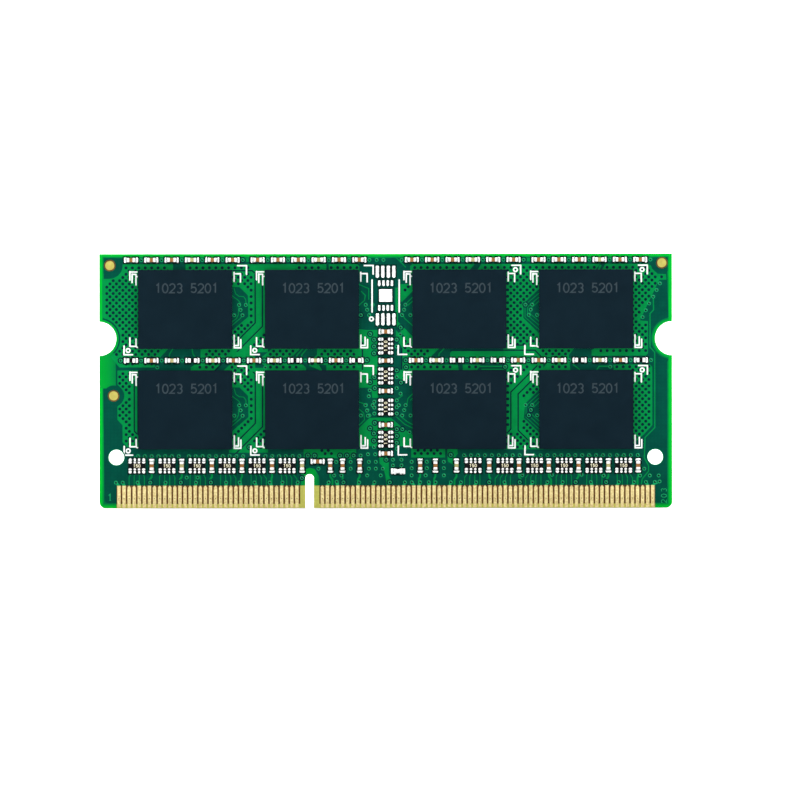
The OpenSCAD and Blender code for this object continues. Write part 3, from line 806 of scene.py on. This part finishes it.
def dot_grid():
    """Places for staggered openings in the wide copper, one pitch apart, counted from one of them."""
    pitch = 0.757
    first_x, first_z = -32.53, 26.48
    rows = int(2 * BOARD_H / pitch)
    columns = int(BOARD_W / pitch)
    for row in range(-rows, rows):
        for column in range(-columns, columns):
            yield first_x + pitch * (column + row % 2 / 2), first_z + pitch * row / 2


def paint_dots(art, radius=0.185, margin=0.25):
    """Round openings wherever the dotted copper is wide enough and no package hides it."""
    grid = np.array([p for p in dot_grid() if -HALF_W < p[0] < HALF_W and 0 < p[1] < BOARD_H])
    for low, high in packages[FRONT]:
        under = ((grid > (low.x + 0.4, low.z + 0.4)) & (grid < (high.x - 0.4, high.z - 0.4))).all(1)
        grid = grid[~under]
    open_place = art.kinds_at(grid) == DOTTED
    for i in range(8):
        turn = math.radians(45 * i)
        offset = np.array((math.cos(turn), math.sin(turn))) * margin
        open_place &= art.kinds_at(grid + offset) == DOTTED
    for x, z in grid[open_place]:
        art.paint(GAP, circle(x, z, radius, 12))


def paint_vias(art, vias):
    """Each plated hole: a ring, its hole and a glint, with a clearing where wide copper lies around it."""
    for x, z in vias:
        if art.kinds_at(np.array([(x, z)]))[0] in (COPPER, DOTTED, GAP):
            art.paint(GAP, circle(x, z, VIA_GAP_R, 16))
    for x, z in vias:
        art.paint(RING, circle(x, z, VIA_R, 14))
        art.paint(HOLE, circle(x, z, VIA_HOLE_R, 12))
        art.paint(GLINT, circle(x + 0.05, z + 0.07, 0.035, 8))


def cut_openings(art):
    """Nothing is raised over the lands, the fiducials, the contacts, the holes, the notches and the slot."""
    for low, high in LANDS[FRONT]:
        art.paint(SHADE, rectangle(low.x - 0.13, low.z - 0.15, high.x + 0.13, high.z + 0.12))
    for box in LANDS[FRONT]:
        art.paint(NOTHING, around(box, 0.06))
    for spot in FIDUCIALS:
        art.paint(NOTHING, circle(spot.x, spot.z, 0.7, 24))
    art.paint(NOTHING, rectangle(-WINDOW_END, -1, WINDOW_END, CONTACT_TOP))
    art.paint(NOTHING, [(KEY_X - KEY_R, -1), (KEY_X + KEY_R, -1)]
              + arc(KEY_X, KEY_TOP - KEY_R, KEY_R + 0.01, 0, 180, 16))
    for side in (-1, 1):
        art.paint(NOTHING, circle(side * HOLE_X, HOLE_Z, HOLE_R + 0.01, 36))
        art.paint(NOTHING, circle(side * HALF_W, NOTCH_Z, NOTCH_R + 0.01, 96))


def paint_fiducial_clearings(art):
    """No copper comes near a fiducial, and the bright rim stays whole."""
    edge, top = HALF_W - 0.5, BOARD_H - 0.46
    for spot in FIDUCIALS:
        disc = circle(spot.x, spot.z, 1.23, 28)
        art.paint(BARE, [(max(-edge, min(edge, x)), min(top, z)) for x, z in disc])


def make_artwork(vias):
    art = Artwork()
    paint_rim(art)
    paint_left_margin(art)
    paint_top_strip(art)
    for dz in (0, -11.85):
        paint_package_gap(art, dz)
    paint_middle_strip(art)
    paint_right_gap(art)
    paint_right_margin(art)
    paint_centre(art)
    paint_bottom(art)
    paint_fiducial_clearings(art)
    paint_contact_stubs(art, vias)
    paint_vias(art, vias)
    paint_dots(art)
    cut_openings(art)
    return art


def triangulate(art):
    """Split the board along every painted edge: points, triangles and the kind of each triangle."""
    points, edges = [], []
    for _, outline in art.shapes:
        start, count = len(points), len(outline)
        points += [Vector(p) for p in outline]
        edges += [(start + i, start + (i + 1) % count) for i in range(count)]
    points, _, triangles, *_ = delaunay_2d_cdt(points, edges, [], 0, 1e-4)
    points = np.array(points)
    triangles = np.array(triangles)
    middles = points[triangles].mean(1)
    return points, triangles, art.kinds_at(middles)


def add_sheet(sheet, layout, wanted, low, high):
    """A sheet of even thickness over every triangle of the wanted kinds."""
    points, triangles, kinds = layout
    chosen = triangles[np.isin(kinds, wanted)]
    used = sorted(set(chosen.ravel().tolist()))
    index = {old: new for new, old in enumerate(used)}
    count = len(used)
    verts = [(points[i][0], points[i][1], high) for i in used]
    verts += [(points[i][0], points[i][1], low) for i in used]
    faces, sides = [], {}
    for a, b, c in chosen.tolist():
        a, b, c = index[a], index[b], index[c]
        faces.append((c, b, a))
        faces.append((a + count, b + count, c + count))
        for edge in ((a, b), (b, c), (c, a)):
            sides[edge] = True
    for a, b in sides:
        if (b, a) not in sides:
            faces.append((a, b, b + count, a + count))
    sheet.add(verts, faces)


# name, kinds, height over the lacquer, material
RELIEFS = (
    ("mask_rim", [RIM], 0.002, "mask_rim"),
    ("mask_glow", [GLOW], 0.002, "mask_glow"),
    ("mask_over_gaps", [GAP], 0.001, "mask_gap"),
    ("mask_opening_edges", [SHADE], 0.003, "mask_shade"),
    ("via_glints", [GLINT], 0.004, "via_glint"),
    ("mask_over_copper", [COPPER, DOTTED], 0.009, "mask_copper"),
    ("via_rings", [RING], 0.011, "via_ring"),
    ("via_holes", [HOLE], 0.001, "via_hole"),
)


def make_board_surface(art):
    """The artwork's relief on both faces, the back's behind the front's."""
    layout = triangulate(art)
    for side, side_name in SIDE_NAMES.items():
        for name, kinds, height, material in RELIEFS:
            sheet = Solids(side)
            add_sheet(sheet, layout, kinds, SEAT_Y - 0.002, SEAT_Y + height)
            sheet.make(f"{name}_{side_name}", material)


# ---------------------------------------------------------------- contacts

def finger(low, high, cut_square):
    """A contact's outline: its upper end is cut square, or comes to a blunt point."""
    mid = (low.x + high.x) / 2
    left, right, bottom, top = low.x + 0.015, high.x - 0.015, low.z - 0.05, high.z
    foot = [(left, bottom + 0.05), (left + 0.05, bottom), (right - 0.05, bottom), (right, bottom + 0.05)]
    if cut_square:
        return foot + [(right, top - 0.03), (right - 0.03, top), (left + 0.03, top), (left, top - 0.03)]
    return foot + [(right, top - 0.22), (right - 0.05, top - 0.16), (mid + 0.05, top - 0.01),
                   (mid - 0.05, top - 0.01), (left + 0.05, top - 0.16), (left, top - 0.22)]


def make_contacts(side, vias):
    """Gold fingers, with the small wear mark of a socket's spring on each."""
    name = SIDE_NAMES[side]
    fingers = Solids(side)
    marks = Solids(side)
    for low, high in sorted(solids(f"edge_contacts_{name}"), key=lambda box: box[0].x):
        mid = (low.x + high.x) / 2
        fingers.prism(finger(low, high, meets_hole(mid, vias)), CORE_Y, SEAT_Y, 0.03)
        marks.prism(circle(mid, 1.13, 0.065, 10), SEAT_Y - 0.002, SEAT_Y + 0.001)
    fingers.make(f"gold_contacts_{name}", "gold", replaced=(f"edge_contacts_{name}",))
    marks.make(f"contact_wear_marks_{name}", "gold_wear")


def make_contact_window(side):
    """The board between the contacts, darker brown except at their lower ends, and a brown ring around each
    fiducial.
    """
    name = SIDE_NAMES[side]
    end, top = WINDOW_END - 0.03, CONTACT_TOP - 0.01
    bare = Solids(side)
    for start, stop in ((-end, KEY_X - KEY_R - 0.01), (KEY_X + KEY_R + 0.01, end)):
        bare.prism(rectangle(start, 0.01, stop, top), CORE_Y - 0.003, CORE_Y + 0.001)
    bare.make(f"bare_board_{name}", "bare_board")
    # the darker brown board between the contacts and around the fiducials
    bed = Solids(side)
    for start, stop in ((-end, KEY_X - 1.1), (KEY_X + 1.15, end)):
        bed.prism(rectangle(start, 0.5, stop, top), CORE_Y - 0.002, CORE_Y + 0.003)
    for spot in FIDUCIALS:
        bed.prism(circle(spot.x, spot.z, 0.685, 32), CORE_Y - 0.002, CORE_Y + 0.003)
    bed.make(f"brown_board_{name}", "contact_bed")


def as_seen(path, side, middle=0.0):
    """A path as a reader in front of either face sees it: on the back, turned about an upright line."""
    return path if side == FRONT else [(2 * middle - x, z) for x, z in path]


def make_contact_numbers(side):
    """The first and last contact numbers, raised in copper under the lacquer."""
    first, last = ("1", "203") if side == FRONT else ("2", "204")
    numbers = Solids(side)
    start = -32.8 if side == FRONT else 32.3
    end = 33.12 if side == FRONT else -32.5
    paths = [(path, 0.11) for path in number_paths(first, start, 0.92, 0.74)]
    paths += [(path, 0.085) for path in number_paths(last, end, 0.57, 0.62, turned=True, gap=0.46)]
    if side == FRONT:
        paths.append(([(-32.66, 0.93), (-32.44, 0.93)], 0.09))
    for path, width in paths:
        numbers.prism(ribbon(as_seen(path, side), width)[::-1], SEAT_Y, SEAT_Y + 0.008)
    numbers.make(f"contact_numbers_{SIDE_NAMES[side]}", "via_ring")


# ---------------------------------------------------------------- solder

def cap_width(distance, length):
    """Half the width of the solder at a capacitor's terminal, from the land's inner edge outwards."""
    spread = min(1.0, max(0.0, (distance - 0.2) / 0.14))
    half = 0.265 + 0.085 * spread * spread * (3 - 2 * spread)
    corner = 0.15
    past = max(0.0, distance - (length - corner))
    return half - corner + math.sqrt(max(0.0, corner * corner - past * past))


def array_width(half, distance, length):
    """The same for one of an array's lands, half its width given: a waist, then a round blob."""
    blob = half + 0.01
    past = distance - (length - blob)
    waist = 0.6 * half if past < 0 else 0.012
    return max(waist, math.sqrt(max(0.0, blob * blob - past * past)))


def joint(solder, land, terminal, half_width, rise, reach):
    """Solder over one land: a concave climb to the terminal, and a low ridge beyond it."""
    (l_low, l_high), (t_low, t_high) = land, terminal
    out = centre(land) - centre(terminal)
    along_x = abs(out.x) > abs(out.z)
    sign = 1 if (out.x if along_x else out.z) > 0 else -1
    axis = 0 if along_x else 2
    length = l_high[axis] - l_low[axis]
    inner = l_low[axis] if sign > 0 else l_high[axis]
    face = t_high[axis] if sign > 0 else t_low[axis]
    terminal_end = (face - inner) * sign
    half_terminal = (t_high[2 - axis] - t_low[2 - axis]) / 2
    middle = centre(land)[2 - axis]
    rows, columns = 13, 9
    points, faces = [], []
    for j in range(rows):
        share = j / (rows - 1)
        distance = length * (1 - (1 - share) ** 1.35)
        half = half_width(distance, length)
        for i in range(columns):
            v = 2 * i / (columns - 1) - 1
            beside = min(1.0, max(0.0, abs(v) * half - half_terminal) / 0.09)
            climb = 1 - min(1.0, max(0.0, distance - terminal_end) / reach)
            edge = min(1.0, 4 * (1 - abs(v)), 7 * (1 - share), 5 * share + 0.2)
            height = 0.01 + 0.045 * math.sqrt(edge) + rise * climb ** 2 * (1 - beside) ** 2 * edge
            flat = (inner + sign * distance, middle + v * half)
            x, z = flat if along_x else flat[::-1]
            points.append((x, z, SEAT_Y + height))
    top = len(points)
    points += [(x, z, CORE_Y + 0.005) for x, z, _ in points]
    turn = (sign > 0) == along_x
    for j in range(rows - 1):
        for i in range(columns - 1):
            a = j * columns + i
            quad = (a, a + 1, a + columns + 1, a + columns)
            low = tuple(top + k for k in reversed(quad))
            faces += [quad, low] if turn else [quad[::-1], low[::-1]]
    edge = list(range(columns)) + [j * columns + columns - 1 for j in range(1, rows)]
    edge += [(rows - 1) * columns + i for i in reversed(range(columns - 1))]
    edge += [j * columns for j in reversed(range(1, rows - 1))]
    for here, after in zip(edge, edge[1:] + edge[:1]):
        quad = (here, top + here, top + after, after)
        faces.append(quad if turn else quad[::-1])
    solder.add(points, faces)


def dome(solder, low, high, rise, round_ends):
    """A bare land with a thin rounded coat of solder."""
    mid = (low + high) / 2
    corner = min(high.x - low.x, high.z - low.z) / 2 if round_ends else 0.08
    outline = []
    for x, z, start in ((high.x - corner, high.z - corner, 0), (low.x + corner, high.z - corner, 90),
                        (low.x + corner, low.z + corner, 180), (high.x - corner, low.z + corner, 270)):
        outline += arc(x, z, corner, start, start + 90, 5)
    levels = ((1.0, -0.035), (1.0, 0.002), (0.93, 0.45 * rise), (0.75, 0.8 * rise), (0.4, rise))
    solder.stack([[(mid.x + (x - mid.x) * share, mid.z + (z - mid.z) * share, SEAT_Y + lift)
                   for x, z in outline] for share, lift in levels])


def make_solder(side):
    """Each land is matched with the terminal that stands on it."""
    name = SIDE_NAMES[side]
    terminals = []
    for kind, rise in (("capacitor", 0.36), ("resistor", 0.28), ("array", 0.26)):
        terminals += [(box, rise) for box in solids(f"{kind}_terminals_{name}")]
    solder = Solids(side)
    bare = []
    for low, high in LANDS[side]:
        mid = (low + high) / 2
        (t_low, t_high), rise = min(terminals, key=lambda t: (centre(t[0]) - mid).length_squared)
        on_it = (low.x < (t_low.x + t_high.x) / 2 < high.x) and (low.z < (t_low.z + t_high.z) / 2 < high.z)
        if on_it:
            half = min(high.x - low.x, high.z - low.z) / 2
            if half < 0.25:
                joint(solder, (low, high), (t_low, t_high), partial(array_width, half), rise, 0.14)
            else:
                joint(solder, (low, high), (t_low, t_high), cap_width, rise, 0.18)
        else:
            dome(solder, low, high, 0.05, round_ends=max(high.x - low.x, high.z - low.z) < 1.49)
            bare.append(centre((low, high)))
    link = [spot for spot in bare if spot.z < 5]
    if link:
        mid = sum(link, Vector()) / len(link)
        for x, half_w, half_h in ((0, 0.6, 0.25), (-0.7, 0.15, 0.35), (0.7, 0.15, 0.35)):
            low = Vector((mid.x + x - half_w, 0, mid.z - half_h))
            high = Vector((mid.x + x + half_w, 0, mid.z + half_h))
            dome(solder, low, high, 0.12 if x == 0 else 0.07, round_ends=False)
    solder.make(f"solder_joints_{name}", "solder", smooth=True,
                replaced=(f"solder_fillets_{name}",))
    # a thin sheet of painted shade in each opening around a land
    openings = Solids(side)
    for box in LANDS[side]:
        openings.prism(around(box, 0.055), CORE_Y - 0.002, CORE_Y + 0.003)
    openings.make(f"mask_openings_{name}", "land_shade")


def make_array_terminals(side):
    """Tin wraps from a resistor array's edge onto its top."""
    name = SIDE_NAMES[side]
    bodies = solids(f"resistor_arrays_{name}")
    caps = Solids(side)
    for low, high in solids(f"array_terminals_{name}"):
        mid = (low + high) / 2
        body = min(bodies, key=lambda box: (centre(box) - mid).length_squared)
        lying = body[1].x - body[0].x > body[1].z - body[0].z
        top = max(abs(low.y), abs(high.y))
        wrap = 0.19
        half = (high.x - low.x if lying else high.z - low.z) / 2 - 0.015
        away = -1 if (mid.z if lying else mid.x) > (centre(body).z if lying else centre(body).x) else 1
        tab = []
        for u, v in ((0, -1), (0.55, -1), (0.82, -0.75), (1, -0.3), (1, 0.3), (0.82, 0.75), (0.55, 1),
                     (0, 1)):
            along, across = away * u * wrap, v * half
            tab.append((mid.x + across, mid.z + along) if lying else (mid.x + along, mid.z + across))
        if (away < 0) != lying:
            tab.reverse()
        caps.prism(rectangle(low.x, low.z, high.x, high.z), SEAT_Y, top, 0.012)
        caps.prism(tab, top - 0.03, top + 0.006, 0.012)
    caps.make(f"array_end_caps_{name}", "tin", replaced=(f"array_terminals_{name}",))


def make_array_marks(side):
    """The value printed on each array: three plain digits along its length."""
    name = SIDE_NAMES[side]
    marks = Solids(side)
    for low, high in solids(f"resistor_arrays_{name}"):
        mid = (low + high) / 2
        top = max(abs(low.y), abs(high.y))
        if high.x - low.x > high.z - low.z:
            paths = number_paths("150", mid.x - 0.42, mid.z - 0.17, 0.34, gap=0.3)
        else:
            paths = number_paths("150", mid.x + 0.17, mid.z - 0.6, 0.34, turned=True, gap=0.85)
        for path in paths:
            marks.prism(ribbon(as_seen(path, side, mid.x), 0.06)[::-1], top - 0.002, top + 0.004)
    marks.make(f"array_value_marks_{name}", "cream_mark")


def make_packages(side):
    """Moulded covers with a number cut a hundredth of a millimetre into their tops."""
    low, high = packages[side][0]
    middle = (low + high) / 2
    art = Artwork()
    edge = 0.05
    art.paint(COPPER, rectangle(low.x + edge, low.z + edge, high.x - edge, high.z - edge))
    for path in number_paths("1023 5201", middle.x - 3.5, middle.z + 1.97, 1.05):
        art.paint(HOLE, ribbon(as_seen(path, side, middle.x), 0.17))
    points, triangles, kinds = triangulate(art)
    points = points - np.array((middle.x, middle.z))
    first = 1 if side == FRONT else 9
    for number, (low, high) in enumerate(packages[side], first):
        middle = (low + high) / 2
        base, top = sorted((abs(low.y), abs(high.y)))
        layout = (points + np.array((middle.x, middle.z)), triangles, kinds)
        body = Solids(side)
        body.prism(rectangle(low.x, low.z, high.x, high.z), base, top - 0.012, 0.035)
        add_sheet(body, layout, [COPPER], top - 0.02, top)
        body.make(f"package_cover_u{number}", "moulding",
                  replaced=(f"dram_cover_u{number}",))
        mark = Solids(side)
        add_sheet(mark, layout, [HOLE], top - 0.02, top - 0.008)
        mark.make(f"package_mark_u{number}", "laser_mark")


def make_balls(side):
    """Soldered balls, wider in the middle than at their ends."""
    name = SIDE_NAMES[side]
    balls = Solids(side)
    levels = ((0.72, 0.0), (0.98, 0.3), (0.98, 0.7), (0.72, 1.0))
    for low, high in solids(f"solder_balls_{name}"):
        mid = (low + high) / 2
        near, far = sorted((abs(low.y), abs(high.y)))
        radius = (high.x - low.x) / 2
        balls.stack([[(x, z, near + (far - near) * level)
                      for x, z in circle(mid.x, mid.z, radius * share, 10)] for share, level in levels])
    balls.make(f"package_balls_{name}", "solder", smooth=True, replaced=(f"solder_balls_{name}",))


# ---------------------------------------------------------------- CAD nodes that stay

def dress(node, material, round_mm=0.0, segments=2):
    """Give a CAD node its material, and round its edges where a size is given."""
    piece = nodes[node]
    piece.data.materials.clear()
    piece.data.materials.append(materials[material])
    if round_mm:
        weld = piece.modifiers.new("weld", "WELD")
        weld.merge_threshold = 1e-7
        bevel = piece.modifiers.new("bevel", "BEVEL")
        bevel.width = round_mm * MM
        bevel.segments = segments
        bevel.limit_method = "ANGLE"
        bevel.angle_limit = math.radians(40)
        bevel.use_clamp_overlap = True


def dress_nodes():
    dress("pcb_laminate", "laminate")
    for name in SIDE_NAMES.values():
        dress(f"solder_mask_{name}", "mask_bare")
        dress(f"legend_ink_{name}", "ink")
        dress(f"fiducials_{name}", "fiducial_gold")
        # the lands are painted near-black: painted shade beside the solder
        dress(f"component_lands_{name}", "land_shade")
        dress(f"dram_dies_{name}", "die")
        dress(f"dram_substrates_{name}", "substrate", 0.01, 1)
        dress(f"bond_slot_seals_{name}", "moulding")
        dress(f"brown_capacitors_{name}", "brown_ceramic", 0.02)
        dress(f"tan_capacitors_{name}", "tan_ceramic", 0.02)
        dress(f"capacitor_terminals_{name}", "tin", 0.075, 3)
        dress(f"chip_resistors_{name}", "black_glaze", 0.015)
        dress(f"resistor_terminals_{name}", "tin", 0.03)
        dress(f"resistor_arrays_{name}", "black_glaze", 0.025)
    dress("spd_eeprom_cover", "moulding", 0.05, 3)
    dress("spd_eeprom_die", "die")
    dress("spd_eeprom_leads", "tin", 0.025)


# ---------------------------------------------------------------- floor, light and camera

def make_stage():
    """A pale floor that bends up into a wall behind the object."""
    mesh = bpy.data.meshes.new("floor")
    near, far, half, wall = -1.2, 0.9, 8.0, 1.2
    steps = 12
    bend = 0.5
    profile = [(near, 0.0)]
    profile += [(far - bend + bend * math.sin(math.radians(90 * i / steps)),
                 bend - bend * math.cos(math.radians(90 * i / steps))) for i in range(steps + 1)]
    profile.append((far, wall))
    verts = [(x, y, z) for y, z in profile for x in (-half, half)]
    faces = [(2 * i, 2 * i + 1, 2 * i + 3, 2 * i + 2) for i in range(len(profile) - 1)]
    mesh.from_pydata(verts, [], faces)
    mesh.polygons.foreach_set("use_smooth", [True] * len(faces))
    tree, shader = new_material("stage_white")
    spread = remap(tree, noise(tree, coordinates(tree), 60.0), 0.3, 0.7)
    tree.links.new(blend_colours(tree, spread, (0.90, 0.90, 0.90), (0.93, 0.93, 0.93)),
                   shader.inputs["Base Color"])
    shader.inputs["Roughness"].default_value = 0.9
    shader.inputs["Specular IOR Level"].default_value = 0.1
    mesh.materials.append(materials["stage_white"])
    floor = bpy.data.objects.new("floor", mesh)
    bpy.context.scene.collection.objects.link(floor)


def area_light(name, place, target, size, power):
    lamp = bpy.data.lights.new(name, "AREA")
    lamp.shape = "RECTANGLE"
    lamp.size, lamp.size_y = size
    lamp.energy = power
    holder = bpy.data.objects.new(name, lamp)
    holder.location = place
    direction = Vector(target) - Vector(place)
    holder.rotation_euler = direction.to_track_quat("-Z", "Y").to_euler()
    bpy.context.scene.collection.objects.link(holder)


def make_light():
    """A broad lamp from the front, smaller ones around, and lamps for the floor and the wall."""
    middle = (0, 0, 0.015)
    area_light("front", (0, -1.85, 0.52), middle, (1.6, 1.0), 6.5)
    area_light("key", (0.35, -0.6, 0.55), middle, (0.6, 0.6), 1.7)
    area_light("fill", (-0.5, -0.6, 0.35), middle, (0.6, 0.6), 1.2)
    area_light("back_key", (-0.45, 0.5, 0.5), middle, (0.5, 0.5), 2.5)
    area_light("back_fill", (0.5, 0.5, 0.3), middle, (0.5, 0.5), 1.6)
    area_light("backdrop", (0, 0.3, 1.0), (0, 0.9, 0.2), (1.4, 0.5), 22.0)
    for side in (-1, 1):
        area_light("side_floor", (side * 2.6, 0, 1.6), (side * 2.9, 0, 0), (2.4, 1.0), 26.0)
    area_light("front_floor", (0, -1.05, 0.8), (0, -1.0, 0), (1.2, 0.5), 7.5)
    world = bpy.data.worlds.new("studio")
    world.use_nodes = True
    background = world.node_tree.nodes["Background"]
    background.inputs["Color"].default_value = (1, 1, 1, 1)
    background.inputs["Strength"].default_value = 0.22
    bpy.context.scene.world = world
    bpy.context.scene.view_settings.view_transform = "Standard"


def make_camera():
    """Straight on to the front, from far enough away that the packages' sides hardly show."""
    distance = 1.5
    frame_w = 0.09441
    aim = Vector((0.00168, 0, 0.01274))
    camera = bpy.data.cameras.new("camera")
    camera.sensor_width = 36
    camera.lens = camera.sensor_width * distance / frame_w
    camera.clip_start = 0.01
    camera.clip_end = 20
    holder = bpy.data.objects.new("camera", camera)
    holder.location = aim + Vector((0, -distance - SEAT_Y * MM, 0))
    holder.rotation_euler = (math.radians(90), math.radians(0.07), 0)
    bpy.context.scene.collection.objects.link(holder)
    bpy.context.scene.camera = holder


make_materials()
make_camera()
make_light()
make_stage()
dress_nodes()
plated_holes = list_vias()
make_board_surface(make_artwork(plated_holes))
for face in (FRONT, BACK):
    make_packages(face)
    make_contacts(face, plated_holes)
    make_contact_window(face)
    make_contact_numbers(face)
    make_solder(face)
    make_array_terminals(face)
    make_array_marks(face)
    make_balls(face)
